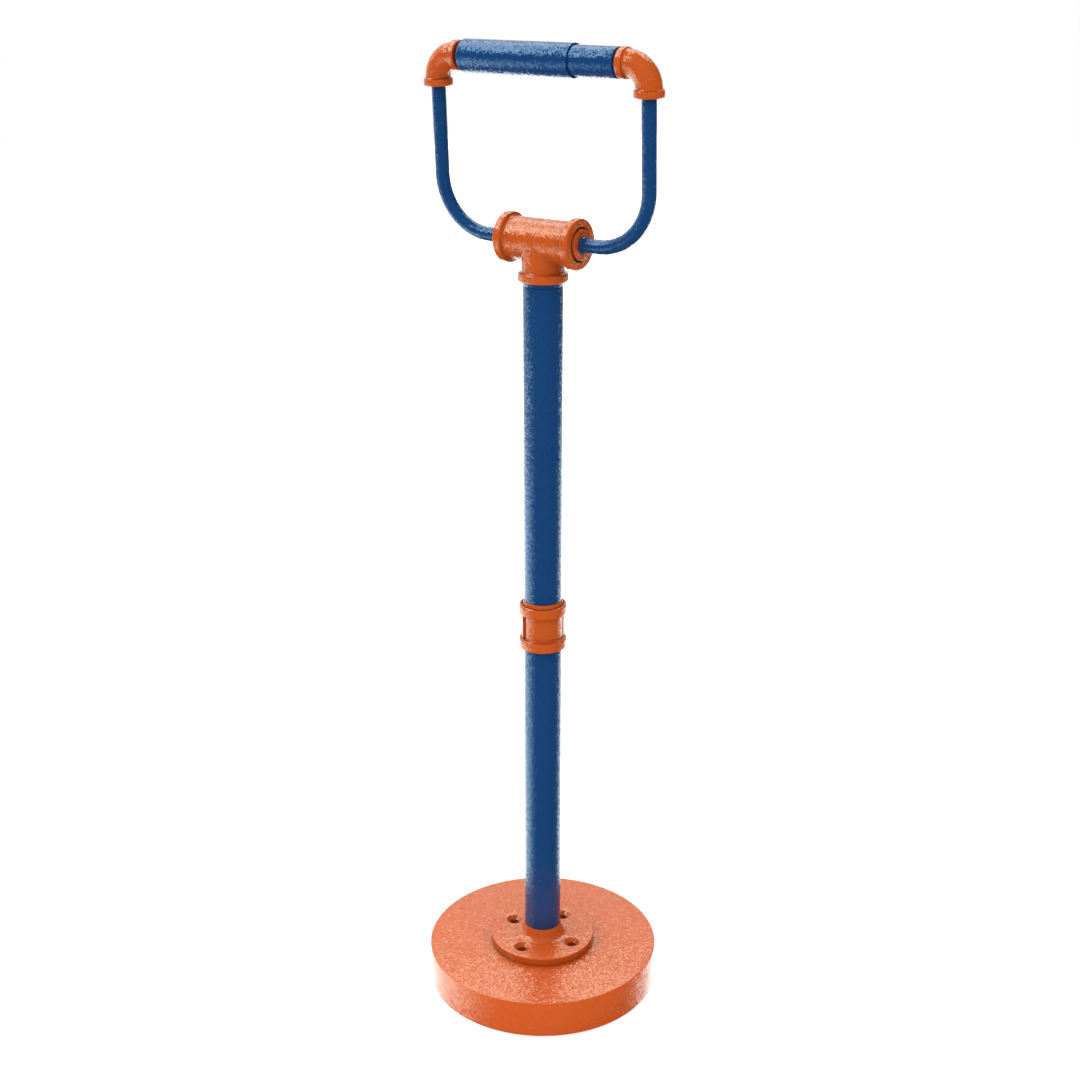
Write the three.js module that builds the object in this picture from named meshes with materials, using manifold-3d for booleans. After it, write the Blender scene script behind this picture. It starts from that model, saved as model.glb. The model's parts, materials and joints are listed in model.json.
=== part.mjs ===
// A free-standing toilet roll stand in the style of pipe fittings: a weighted round base with a
// floor flange, a pole in two lengths, a tee, two bent arms with elbows, and a sprung roller.
// Millimetres, +Z up, +X along the roller. The origin is the centre of the base on the floor.
import * as THREE from "three";
import { mergeVertices } from "three/addons/utils/BufferGeometryUtils.js";
import Module from "manifold-3d";

const wasm = await Module();
wasm.setup();

// ---------------------------------------------------------------- driving dimensions

// Fits and facets
const GAP = 0.3; // left between two pieces that touch on the real object
const SLACK = 1; // how far a cutting tool runs past the face it cuts
const FINE = 48; // sides of the base and its flange
const ROUND = 24; // sides of the poles, fittings and roller
const SMALL = 16; // sides of rods, pins, bolts and holes
const FILLET_STEPS = 2;

// Base
const BASE_R = 86;
const BASE_TOP = 28.1;
const BASE_RIM = 0.5; // the shell's rim stands this far off the floor, on the pad
const BASE_WALL = 1.6;
const BASE_EDGE = 0.9;
const PAD_R = 81.7;
const PAD_THICK = 2.5;
const PAD_HOLE_R = 16;

// Fastening of the pole to the base
const BOLT_R = 4;
const BOLT_HOLE_R = 4.6;
const BOLT_TIP = 60;
const BOLT_HEAD_R = 7.5;
const BOLT_HEAD_TALL = 5.4;
const BOLT_POCKET_R = 12;
const BOLT_POCKET_TOP = 14;
const WASHER_R = 9;
const WASHER_THICK = 1.3;

// Floor flange
const FLANGE_R = 39;
const FLANGE_TOP = 34.1;
const FLANGE_EDGE = 0.8;
const HUB_TOP = 42.7;
const HUB_TOP_R = 13.7;
const HUB_FOOT_R = 15.9;
const HUB_FILLET = 5;
const SCREW_CIRCLE_R = 26.8;
const SCREW_HOLE_R = 3.35;
const SCREW_SINK_R = 6.15;
const SCREW_COUNT = 4;

// Poles
const POLE_R = 13.45;
const POLE_WALL = 1.2;
const PLUG_DEEP = 17; // how far an insert or adaptor reaches into its tube
const ADAPTOR_BORE_R = 6;
const THREAD_R = 11;

// Coupling between the two poles
const COUPLING_FOOT = 272.6;
const COUPLING_TALL = 33.3;
const COUPLING_R = 16.95;
const COUPLING_BAND = 7.5;
const COUPLING_BARREL_R = 14;
const COUPLING_SOCKET = 5.8; // how deep the lower pole sits in it
const RIB_R = 15.2;
const RIB_WIDE = 5;
const RIB_AZIMUTH = THREE.MathUtils.degToRad(45.7);

// Tapered rings that close the joints between tube and fitting
const RING_TALL = 2.7;
const RING_TOP_R = 13.7;
const FOOT_RING_R = 14.6;
const FOOT_RING_GAP = 0.9; // the groove that shows around it
const HEAD_RING_R = 14.9;
const RECESS_DEEP = 1.3;

// Tee
const TEE_Z = 563.4;
const TEE_HALF = 30;
const TEE_DROP = 27;
const TEE_R = 14.4;
const TEE_BAND_R = 16.95;
const TEE_BRANCH_BAND_R = 16.85;
const TEE_BAND = 6.3;
const TEE_BORE_R = 11.5;
const TEE_PLUG_R = 11.15;
const TEE_PLUG_FACE_R = 10.3;
const TEE_PLUG_IN = 20;
const TEE_PLUG_STEP = 27.4; // where it narrows, which leaves a groove around its face
const TEE_PLUG_OUT = 31.6;
const TEE_PLUG_EDGE = 0.5;
const BAND_EDGE = 1.2;

// Arms and yoke. The yoke is the arms, the elbows and what they carry, turned about the tee.
const YOKE_LEAN = THREE.MathUtils.degToRad(2.5);
const ARM_R = 4.7625;
const ARM_BEND_R = 38;
const ARM_X = 82.3;
const ARM_STUB_R = 4;
const ARM_STUB_IN = 11;
const ARM_STEPS = 24;
const ARM_COLLAR_R = 5.6;
const ARM_COLLAR_LONG = 2;
const ARM_NUT_THICK = 6.5;

// Elbows
const ELBOW_REACH = 20; // centre to end, both ways
const ELBOW_R = 8.5;
const ELBOW_BAND_R = 9.8;
const ELBOW_BAND = 5;
const ELBOW_STEPS = 9;
const ARM_SEAT = 12; // how deep the arm sits in the elbow
const BUSH_SEAT = 9;
const BUSH_R = 6.7;
const BUSH_BORE_R = 3.4;

// Roller
const ROLLER_RISE = 115.6; // axis above the tee's axis
const OUTER_TUBE_R = 10.8;
const OUTER_TUBE_WALL = 0.5;
const OUTER_TUBE_LEFT = -59.6;
const OUTER_TUBE_RIGHT = 28;
const OUTER_LIP_R = 10;
const OUTER_LIP_LONG = 1.5;
const INNER_TUBE_R = 9.7;
const INNER_TUBE_WALL = 0.6;
const INNER_TUBE_RIGHT = 61.3;
const INNER_FLARE_R = 10;
const END_THICK = 1;
const END_EDGE = 2;
const PIN_R = 3;
const PIN_TIP = 70.4;
const PIN_HEAD_R = 8.6;
const PIN_HEAD_THICK = 2;
const SEAT_FLANGE_R = 9.6;
const SEAT_FLANGE_THICK = 1.5;
const SEAT_PLUG_R = 8.8;
const SEAT_PLUG_LONG = 5;
const SPRING_R = 7.4;
const SPRING_WIRE_R = 0.7;
const SPRING_TURNS = 7;
const SPRING_STEPS = 8; // per turn
const SPRING_SIDES = 5;

// ---------------------------------------------------------------- finishes

const ORANGE = new THREE.MeshStandardMaterial({ color: 0xd15a23, roughness: 0.5, metalness: 0.1 });
const BLUE = new THREE.MeshStandardMaterial({ color: 0x184070, roughness: 0.5, metalness: 0.1 });
const STEEL = new THREE.MeshStandardMaterial({ color: 0xa9acb0, roughness: 0.35, metalness: 0.9 });
const IRON = new THREE.MeshStandardMaterial({ color: 0x4c4d50, roughness: 0.8, metalness: 0.6 });
const PAD = new THREE.MeshStandardMaterial({ color: 0x202124, roughness: 0.95, metalness: 0 });
const NYLON = new THREE.MeshStandardMaterial({ color: 0x2a2c30, roughness: 0.6, metalness: 0 });

// ---------------------------------------------------------------- geometry helpers

// The outline through some corners [radius, height, fillet], with each fillet rounded off.
function outline(corners) {
  const at = (i) => new THREE.Vector2(...corners[(i + corners.length) % corners.length]);
  return corners.flatMap(([, , fillet = 0], i) => {
    const corner = at(i);
    if (fillet === 0) return [corner];
    const back = at(i - 1).sub(corner).normalize();
    const on = at(i + 1).sub(corner).normalize();
    const half = back.angleTo(on) / 2;
    const centre = back.clone().add(on).setLength(fillet / Math.sin(half)).add(corner);
    const reach = fillet / Math.tan(half);
    const start = corner.clone().addScaledVector(back, reach).sub(centre);
    const end = corner.clone().addScaledVector(on, reach).sub(centre);
    const sweep = Math.atan2(start.cross(end), start.dot(end));
    return Array.from({ length: FILLET_STEPS + 1 }, (_, step) =>
      start.clone().rotateAround(new THREE.Vector2(), (sweep * step) / FILLET_STEPS).add(centre),
    );
  });
}

// A solid turned about +Z. Its outline starts and ends on the axis, or else it is a closed ring.
function turned(corners, sides = ROUND) {
  const points = outline(corners);
  if (THREE.ShapeUtils.area(points) < 0) points.reverse();
  if (corners[0][0] > 0) points.push(points[0].clone());
  return new THREE.LatheGeometry(points, sides).rotateX(Math.PI / 2);
}

// The same, turned about +X: the heights of the outline are places along X.
function turnedAlongX(corners, sides = ROUND) {
  return turned(corners, sides).rotateY(Math.PI / 2);
}

// A plain drill or rod about +Z.
function rod(radius, from, to, sides = SMALL) {
  return turned([[0, from], [radius, from], [radius, to], [0, to]], sides);
}

// A plain tube or washer about +Z.
function sleeve(outerRadius, innerRadius, from, to, sides = ROUND) {
  return turned(
    [[innerRadius, from], [outerRadius, from], [outerRadius, to], [innerRadius, to]],
    sides,
  );
}

// A quarter bend in the XZ plane with a straight run before and after it.
class QuarterBend extends THREE.Curve {
  // It starts at start, goes along the unit vector first, and leaves along the unit vector last.
  constructor(start, first, last, before, radius, after) {
    super();
    Object.assign(this, { start, first, last, before, radius, after });
    this.arc = (radius * Math.PI) / 2;
  }

  getPoint(t) {
    const along = t * (this.before + this.arc + this.after);
    const turn = THREE.MathUtils.clamp((along - this.before) / this.radius, 0, Math.PI / 2);
    const past = Math.max(along - this.before - this.arc, 0);
    const forth = Math.min(along, this.before) + this.radius * Math.sin(turn);
    const aside = this.radius * (1 - Math.cos(turn)) + past;
    return this.start.clone().addScaledVector(this.first, forth).addScaledVector(this.last, aside);
  }
}

// A close coil about +X.
class Coil extends THREE.Curve {
  constructor(radius, from, to, turns) {
    super();
    Object.assign(this, { radius, from, to, turns });
  }

  getPoint(t) {
    const angle = 2 * Math.PI * this.turns * t;
    return new THREE.Vector3(
      THREE.MathUtils.lerp(this.from, this.to, t),
      this.radius * Math.cos(angle),
      this.radius * Math.sin(angle),
    );
  }
}

// A round bar along a curve.
function bar(curve, radius, sides, steps) {
  const corners = Array.from({ length: sides }, (_, i) => {
    const angle = (2 * Math.PI * i) / sides;
    return new THREE.Vector2(radius * Math.cos(angle), radius * Math.sin(angle));
  });
  return new THREE.ExtrudeGeometry(new THREE.Shape(corners), { steps, extrudePath: curve });
}

// A six-sided prism about +Z, such as a nut or a bolt head.
function hexagon(cornerRadius, from, to) {
  return rod(cornerRadius, from, to, 6);
}

// A closed mesh as a manifold-3d solid.
function solid(geometry) {
  const bare = geometry.clone();
  bare.deleteAttribute("normal");
  bare.deleteAttribute("uv");
  const merged = mergeVertices(bare, 1e-3);
  const triangles = [];
  for (let i = 0; i < merged.index.count; i += 3) {
    const [a, b, c] = merged.index.array.subarray(i, i + 3);
    if (a !== b && b !== c && c !== a) triangles.push(a, b, c);
  }
  return new wasm.Manifold(
    new wasm.Mesh({
      numProp: 3,
      vertProperties: merged.attributes.position.array,
      triVerts: new Uint32Array(triangles),
    }),
  );
}

// The geometry of a manifold-3d solid.
function shape(made) {
  const { vertProperties, triVerts } = made.getMesh();
  const geometry = new THREE.BufferGeometry();
  geometry.setAttribute("position", new THREE.BufferAttribute(vertProperties, 3));
  geometry.setIndex(new THREE.BufferAttribute(triVerts, 1));
  geometry.computeVertexNormals();
  return geometry;
}

// The given bodies joined into one, less the tools.
function made(bodies, tools = []) {
  const joined = bodies.map(solid).reduce((all, one) => all.add(one));
  return shape(tools.map(solid).reduce((left, tool) => left.subtract(tool), joined));
}

// Adds a named piece to a group.
function add(group, name, geometry, material) {
  const mesh = new THREE.Mesh(geometry, material);
  mesh.name = name;
  group.add(mesh);
}

// ---------------------------------------------------------------- base and pole foot

function basePad() {
  return sleeve(PAD_R, PAD_HOLE_R, 0, PAD_THICK, FINE);
}

// A pressed cover, open below.
function baseShell() {
  const inside = BASE_R - BASE_WALL;
  const ceiling = BASE_TOP - BASE_WALL;
  return turned(
    [
      [BOLT_HOLE_R, ceiling],
      [inside, ceiling],
      [inside, BASE_RIM],
      [BASE_R, BASE_RIM],
      [BASE_R, BASE_TOP, BASE_EDGE],
      [BOLT_HOLE_R, BASE_TOP],
    ],
    FINE,
  );
}

// The cast disc inside the cover, with a pocket for the bolt's head.
function baseWeight() {
  const radius = BASE_R - BASE_WALL - 2 * GAP;
  const foot = PAD_THICK + GAP;
  const top = BASE_TOP - BASE_WALL - GAP;
  return turned(
    [
      [BOLT_HOLE_R, BOLT_POCKET_TOP],
      [BOLT_POCKET_R, BOLT_POCKET_TOP],
      [BOLT_POCKET_R, foot],
      [radius, foot],
      [radius, top],
      [BOLT_HOLE_R, top],
    ],
    FINE,
  );
}

function floorFlange() {
  const foot = BASE_TOP + GAP;
  const plate = turned(
    [
      [BOLT_HOLE_R, foot],
      [FLANGE_R, foot],
      [FLANGE_R, FLANGE_TOP, FLANGE_EDGE],
      [HUB_FOOT_R, FLANGE_TOP, HUB_FILLET],
      [HUB_TOP_R, HUB_TOP],
      [BOLT_HOLE_R, HUB_TOP],
    ],
    FINE,
  );
  const sink = SCREW_SINK_R - SCREW_HOLE_R;
  const tools = Array.from({ length: SCREW_COUNT }, (_, i) => {
    const angle = (2 * Math.PI * i) / SCREW_COUNT;
    const drill = turned(
      [
        [0, foot - SLACK],
        [SCREW_HOLE_R, foot - SLACK],
        [SCREW_HOLE_R, FLANGE_TOP - sink],
        [SCREW_SINK_R + SLACK, FLANGE_TOP + SLACK],
        [0, FLANGE_TOP + SLACK],
      ],
      SMALL,
    );
    return drill.translate(SCREW_CIRCLE_R * Math.cos(angle), SCREW_CIRCLE_R * Math.sin(angle), 0);
  });
  return made([plate], tools);
}

// The pieces from the pocket in the weight up into the pole.
function fastening(group) {
  const washerFoot = BOLT_POCKET_TOP - GAP - WASHER_THICK;
  const lockFoot = washerFoot - GAP - WASHER_THICK;
  const headTop = lockFoot - GAP;
  const bolt = made([
    hexagon(BOLT_HEAD_R, headTop - BOLT_HEAD_TALL, headTop),
    rod(BOLT_R, headTop - SLACK, BOLT_TIP),
  ]);
  const tubeBore = POLE_R - POLE_WALL;
  const insertFoot = HUB_TOP + GAP;
  add(group, "base_bolt", bolt, STEEL);
  add(
    group,
    "base_lock_washer",
    sleeve(BOLT_HEAD_R, BOLT_HOLE_R, lockFoot, lockFoot + WASHER_THICK, SMALL),
    STEEL,
  );
  add(
    group,
    "base_washer",
    sleeve(WASHER_R, BOLT_HOLE_R, washerFoot, washerFoot + WASHER_THICK, SMALL),
    STEEL,
  );
  add(
    group,
    "lower_pole_foot_insert",
    sleeve(tubeBore - GAP, BOLT_HOLE_R, insertFoot, insertFoot + PLUG_DEEP),
    STEEL,
  );
}

// ---------------------------------------------------------------- poles and coupling

function pole(from, to) {
  return sleeve(POLE_R, POLE_R - POLE_WALL, from, to);
}

// Joins the lower pole's top to the coupling: a plug in the tube and a threaded stub above it.
function lowerPoleTopAdaptor() {
  const tubeTop = COUPLING_FOOT + COUPLING_SOCKET - GAP;
  return turned([
    [ADAPTOR_BORE_R, tubeTop - PLUG_DEEP],
    [POLE_R - POLE_WALL - GAP, tubeTop - PLUG_DEEP],
    [POLE_R - POLE_WALL - GAP, tubeTop],
    [THREAD_R, tubeTop],
    [THREAD_R, tubeTop + PLUG_DEEP - COUPLING_SOCKET],
    [ADAPTOR_BORE_R, tubeTop + PLUG_DEEP - COUPLING_SOCKET],
  ]);
}

// A threaded stub, a tapered ring that shows, and a plug in the tube. It is drawn with the
// fitting's face at 0 and the tube above it.
function ringAdaptor(ringRadius, stubLong) {
  return turned([
    [ADAPTOR_BORE_R, -stubLong],
    [THREAD_R, -stubLong],
    [THREAD_R, GAP - RECESS_DEEP],
    [ringRadius, GAP - RECESS_DEEP],
    [ringRadius, GAP / 2],
    [RING_TOP_R, RING_TALL],
    [POLE_R - POLE_WALL - GAP, RING_TALL],
    [POLE_R - POLE_WALL - GAP, RING_TALL + PLUG_DEEP],
    [ADAPTOR_BORE_R, RING_TALL + PLUG_DEEP],
  ]);
}

// A banded sleeve with two upright ribs on its barrel.
function coupling() {
  const upperBand = COUPLING_TALL - COUPLING_BAND;
  const barrel = turned([
    [POLE_R + GAP, 0],
    [COUPLING_R, 0, BAND_EDGE],
    [COUPLING_R, COUPLING_BAND, BAND_EDGE],
    [COUPLING_BARREL_R, COUPLING_BAND],
    [COUPLING_BARREL_R, upperBand],
    [COUPLING_R, upperBand, BAND_EDGE],
    [COUPLING_R, COUPLING_TALL, BAND_EDGE],
    [FOOT_RING_R + FOOT_RING_GAP, COUPLING_TALL],
    [FOOT_RING_R + FOOT_RING_GAP, COUPLING_TALL - RECESS_DEEP],
    [THREAD_R + GAP, COUPLING_TALL - RECESS_DEEP],
    [THREAD_R + GAP, COUPLING_SOCKET],
    [POLE_R + GAP, COUPLING_SOCKET],
  ]);
  const deep = RIB_R - THREAD_R - SLACK;
  const ribs = [RIB_AZIMUTH, RIB_AZIMUTH + Math.PI].map((azimuth) =>
    new THREE.BoxGeometry(deep, RIB_WIDE, upperBand - COUPLING_BAND + SLACK)
      .translate(RIB_R - deep / 2, 0, COUPLING_TALL / 2)
      .rotateZ(azimuth),
  );
  return made([barrel, ...ribs]).translate(0, 0, COUPLING_FOOT);
}

// ---------------------------------------------------------------- tee

// The tee about its own centre: the run along X and the branch down.
function tee() {
  const rootX = TEE_HALF - TEE_BAND;
  const rootZ = TEE_DROP - TEE_BAND;
  const run = turnedAlongX([
    [0, -TEE_HALF],
    [TEE_BAND_R, -TEE_HALF, BAND_EDGE],
    [TEE_BAND_R, -rootX, BAND_EDGE],
    [TEE_R, -rootX],
    [TEE_R, rootX],
    [TEE_BAND_R, rootX, BAND_EDGE],
    [TEE_BAND_R, TEE_HALF, BAND_EDGE],
    [0, TEE_HALF],
  ]);
  const branch = turned([
    [0, -TEE_DROP],
    [TEE_BRANCH_BAND_R, -TEE_DROP, BAND_EDGE],
    [TEE_BRANCH_BAND_R, -rootZ, BAND_EDGE],
    [TEE_R - GAP, -rootZ],
    [TEE_R - GAP, 0],
    [0, 0],
  ]);
  const bore = rod(TEE_BORE_R, -TEE_HALF - SLACK, TEE_HALF + SLACK, ROUND);
  const branchBore = rod(THREAD_R + GAP, -TEE_DROP - SLACK, 0, ROUND);
  const recess = rod(HEAD_RING_R + GAP, -TEE_DROP - SLACK, RECESS_DEEP - TEE_DROP, ROUND);
  return made([run, branch], [bore.rotateY(Math.PI / 2), branchBore, recess]);
}

function teePlug() {
  return turnedAlongX([
    [ARM_STUB_R + GAP, TEE_PLUG_IN],
    [TEE_PLUG_R, TEE_PLUG_IN],
    [TEE_PLUG_R, TEE_PLUG_STEP],
    [TEE_PLUG_FACE_R, TEE_PLUG_STEP],
    [TEE_PLUG_FACE_R, TEE_PLUG_OUT, TEE_PLUG_EDGE],
    [ARM_STUB_R + GAP, TEE_PLUG_OUT],
  ]);
}

// ---------------------------------------------------------------- yoke, about the tee's centre

// A bent rod with a thinner stub that passes through the plug.
function arm() {
  const shoulder = TEE_PLUG_OUT + GAP;
  const top = ROLLER_RISE - ELBOW_REACH + ARM_SEAT;
  const line = new QuarterBend(
    new THREE.Vector3(shoulder, 0, 0),
    new THREE.Vector3(1, 0, 0),
    new THREE.Vector3(0, 0, 1),
    ARM_X - ARM_BEND_R - shoulder,
    ARM_BEND_R,
    top - ARM_BEND_R,
  );
  const stub = rod(ARM_STUB_R, ARM_STUB_IN, shoulder + SLACK).rotateY(Math.PI / 2);
  return made([bar(line, ARM_R, SMALL, ARM_STEPS), stub]);
}

function armCollar() {
  const foot = TEE_PLUG_OUT + GAP;
  return turnedAlongX(
    [
      [ARM_R + GAP, foot],
      [ARM_COLLAR_R, foot],
      [ARM_COLLAR_R, foot + ARM_COLLAR_LONG / 2],
      [ARM_R + 2 * GAP, foot + ARM_COLLAR_LONG],
      [ARM_R + GAP, foot + ARM_COLLAR_LONG],
    ],
    SMALL,
  );
}

function armWasher() {
  const face = TEE_PLUG_IN - GAP;
  return sleeve(BOLT_HEAD_R, ARM_STUB_R + GAP, face - WASHER_THICK, face, SMALL).rotateY(Math.PI / 2);
}

function armNut() {
  const face = TEE_PLUG_IN - 2 * GAP - WASHER_THICK;
  const body = hexagon(BOLT_HEAD_R, face - ARM_NUT_THICK, face);
  const hole = rod(ARM_STUB_R + GAP, face - ARM_NUT_THICK - SLACK, face + SLACK);
  return made([body], [hole]).rotateY(Math.PI / 2);
}

// A quarter bend with a band at each end, a seat for the arm below and one for the bush inwards.
function elbow() {
  const foot = ROLLER_RISE - ELBOW_REACH;
  const face = ARM_X - ELBOW_REACH;
  const line = new QuarterBend(
    new THREE.Vector3(ARM_X, 0, foot),
    new THREE.Vector3(0, 0, 1),
    new THREE.Vector3(-1, 0, 0),
    ELBOW_BAND,
    ELBOW_REACH - ELBOW_BAND,
    ELBOW_BAND,
  );
  const band = () =>
    turned([
      [0, 0],
      [ELBOW_BAND_R, 0, BAND_EDGE],
      [ELBOW_BAND_R, ELBOW_BAND, BAND_EDGE],
      [0, ELBOW_BAND],
    ]);
  const bodies = [
    bar(line, ELBOW_R, ROUND, ELBOW_STEPS),
    band().translate(ARM_X, 0, foot),
    band().rotateY(Math.PI / 2).translate(face, 0, ROLLER_RISE),
  ];
  const armSeat = rod(ARM_R + GAP, -SLACK, ARM_SEAT + GAP).translate(ARM_X, 0, foot);
  const bushSeat = rod(BUSH_R + GAP, -SLACK, BUSH_SEAT).rotateY(Math.PI / 2);
  return made(bodies, [armSeat, bushSeat.translate(face, 0, ROLLER_RISE)]);
}

function pinBush() {
  const face = ARM_X - ELBOW_REACH + GAP;
  return sleeve(BUSH_R, BUSH_BORE_R, face, face + BUSH_SEAT - 2 * GAP, SMALL)
    .rotateY(Math.PI / 2)
    .translate(0, 0, ROLLER_RISE);
}

// ---------------------------------------------------------------- roller, about its own axis

// The wider tube: a closed, rounded left end with a pin hole, and a lip at its open right end.
function outerTube() {
  const bore = OUTER_TUBE_R - OUTER_TUBE_WALL;
  return turnedAlongX([
    [PIN_R + GAP, OUTER_TUBE_LEFT],
    [OUTER_TUBE_R, OUTER_TUBE_LEFT, END_EDGE],
    [OUTER_TUBE_R, OUTER_TUBE_RIGHT],
    [OUTER_LIP_R, OUTER_TUBE_RIGHT],
    [OUTER_LIP_R, OUTER_TUBE_RIGHT - OUTER_LIP_LONG],
    [bore, OUTER_TUBE_RIGHT - OUTER_LIP_LONG],
    [bore, OUTER_TUBE_LEFT + END_THICK, END_EDGE - OUTER_TUBE_WALL],
    [PIN_R + GAP, OUTER_TUBE_LEFT + END_THICK],
  ]);
}

// The narrower tube: a flare at its open left end, and a closed right end with a pin hole.
function innerTube() {
  const bore = INNER_TUBE_R - INNER_TUBE_WALL;
  return turnedAlongX([
    [bore, 0],
    [INNER_FLARE_R, 0],
    [INNER_FLARE_R, OUTER_LIP_LONG],
    [INNER_TUBE_R, OUTER_LIP_LONG],
    [INNER_TUBE_R, INNER_TUBE_RIGHT, END_EDGE / 2],
    [PIN_R + GAP, INNER_TUBE_RIGHT],
    [PIN_R + GAP, INNER_TUBE_RIGHT - END_THICK],
    [bore, INNER_TUBE_RIGHT - END_THICK],
  ]);
}

// A headed pin through the closed end of a tube, drawn for the right end. end is where the
// tube's end face is.
function endPin(end) {
  const shoulder = end - END_THICK - GAP;
  return turnedAlongX(
    [
      [0, shoulder - PIN_HEAD_THICK],
      [PIN_HEAD_R - GAP, shoulder - PIN_HEAD_THICK],
      [PIN_HEAD_R - GAP, shoulder],
      [PIN_R, shoulder],
      [PIN_R, PIN_TIP, PIN_R / 4],
      [0, PIN_TIP],
    ],
    SMALL,
  );
}

// The plug in the inner tube that the spring pushes on.
function springSeat() {
  return turnedAlongX([
    [0, -GAP - SEAT_FLANGE_THICK],
    [SEAT_FLANGE_R, -GAP - SEAT_FLANGE_THICK],
    [SEAT_FLANGE_R, -GAP],
    [SEAT_PLUG_R, -GAP],
    [SEAT_PLUG_R, SEAT_PLUG_LONG],
    [0, SEAT_PLUG_LONG],
  ]);
}

function spring() {
  const margin = SPRING_WIRE_R + GAP;
  const from = OUTER_TUBE_LEFT + END_THICK + GAP + PIN_HEAD_THICK + margin;
  const to = -GAP - SEAT_FLANGE_THICK - margin;
  const coil = new Coil(SPRING_R, from, to, SPRING_TURNS);
  return bar(coil, SPRING_WIRE_R, SPRING_SIDES, SPRING_TURNS * SPRING_STEPS);
}

// ---------------------------------------------------------------- the object

function stand() {
  const group = new THREE.Group();
  const couplingTop = COUPLING_FOOT + COUPLING_TALL;
  const teeFoot = TEE_Z - TEE_DROP;
  add(group, "base_pad", basePad(), PAD);
  add(group, "base_shell", baseShell(), ORANGE);
  add(group, "base_weight", baseWeight(), IRON);
  add(group, "floor_flange", floorFlange(), ORANGE);
  fastening(group);
  add(group, "lower_pole", pole(HUB_TOP + GAP, COUPLING_FOOT + COUPLING_SOCKET - GAP), BLUE);
  add(group, "lower_pole_top_adaptor", lowerPoleTopAdaptor(), STEEL);
  add(group, "coupling", coupling(), ORANGE);
  const foot = ringAdaptor(FOOT_RING_R, PLUG_DEEP - COUPLING_SOCKET);
  add(group, "upper_pole_foot_adaptor", foot.translate(0, 0, couplingTop), ORANGE);
  add(group, "upper_pole", pole(couplingTop + RING_TALL + GAP, teeFoot - RING_TALL - GAP), BLUE);
  const head = ringAdaptor(HEAD_RING_R, PLUG_DEEP - COUPLING_SOCKET).rotateX(Math.PI);
  add(group, "upper_pole_top_adaptor", head.translate(0, 0, teeFoot), BLUE);
  add(group, "tee", tee().translate(0, 0, TEE_Z), ORANGE);
  return group;
}

// The pieces of one side of the yoke, and the tee plug that its arm passes through.
function side(name, turn, fixed, yoke) {
  add(fixed, `tee_plug_${name}`, teePlug().rotateZ(turn), ORANGE);
  add(yoke, `arm_${name}`, arm().rotateZ(turn), BLUE);
  add(yoke, `arm_collar_${name}`, armCollar().rotateZ(turn), BLUE);
  add(yoke, `arm_washer_${name}`, armWasher().rotateZ(turn), STEEL);
  add(yoke, `arm_nut_${name}`, armNut().rotateZ(turn), STEEL);
  add(yoke, `elbow_${name}`, elbow().rotateZ(turn), ORANGE);
  add(yoke, `pin_bush_${name}`, pinBush().rotateZ(turn), NYLON);
}

function roller() {
  const group = new THREE.Group();
  add(group, "roller_outer_tube", outerTube(), BLUE);
  add(group, "roller_inner_tube", innerTube(), BLUE);
  add(group, "roller_pin_left", endPin(-OUTER_TUBE_LEFT).rotateZ(Math.PI), STEEL);
  add(group, "roller_pin_right", endPin(INNER_TUBE_RIGHT), STEEL);
  add(group, "roller_spring_seat", springSeat(), NYLON);
  add(group, "roller_spring", spring(), STEEL);
  group.position.z = ROLLER_RISE;
  return group;
}

function rollStand() {
  const whole = new THREE.Group();
  const fixed = new THREE.Group();
  const yoke = new THREE.Group();
  fixed.position.z = TEE_Z;
  yoke.position.z = TEE_Z;
  yoke.rotation.x = YOKE_LEAN;
  side("left", Math.PI, fixed, yoke);
  side("right", 0, fixed, yoke);
  yoke.add(roller());
  whole.add(stand(), fixed, yoke);
  return whole;
}

export default rollStand();
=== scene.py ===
from functools import partial
import json
import math

import bmesh
import bpy
from mathutils import Matrix, Vector


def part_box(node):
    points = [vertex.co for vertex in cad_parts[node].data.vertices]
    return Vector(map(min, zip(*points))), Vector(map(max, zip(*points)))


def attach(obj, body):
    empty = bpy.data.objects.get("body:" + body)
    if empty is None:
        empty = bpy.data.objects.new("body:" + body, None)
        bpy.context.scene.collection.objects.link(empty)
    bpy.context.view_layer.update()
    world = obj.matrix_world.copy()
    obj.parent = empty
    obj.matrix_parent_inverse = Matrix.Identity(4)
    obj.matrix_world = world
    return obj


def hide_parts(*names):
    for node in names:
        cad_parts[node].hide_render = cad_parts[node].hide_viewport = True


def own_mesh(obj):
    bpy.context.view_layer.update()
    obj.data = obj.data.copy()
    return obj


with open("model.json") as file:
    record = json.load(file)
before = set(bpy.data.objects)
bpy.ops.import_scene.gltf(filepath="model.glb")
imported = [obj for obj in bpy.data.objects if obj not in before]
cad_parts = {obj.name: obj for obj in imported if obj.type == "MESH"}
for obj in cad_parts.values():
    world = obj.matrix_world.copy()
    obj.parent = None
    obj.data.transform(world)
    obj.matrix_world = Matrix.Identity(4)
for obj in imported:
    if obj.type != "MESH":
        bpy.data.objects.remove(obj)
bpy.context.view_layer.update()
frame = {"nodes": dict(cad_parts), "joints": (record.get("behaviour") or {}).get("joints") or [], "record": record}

# Lengths are in metres, in the frame's own axes: +Z up, +X along the roller.
MM = 0.001

# ---------------------------------------------------------------- fine dimensions

# Sides of turned and bent pieces
WIDE_SIDES = 192
TUBE_SIDES = 96
FITTING_SIDES = 144
COUPLING_SIDES = 384
ROD_SIDES = 64
FILLET_STEPS = 6
SHARP_ANGLE = math.radians(38)

# Clearances: between pieces, and where one sits snugly against another
GAP = 0.3 * MM
SNUG = GAP / 4

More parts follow.
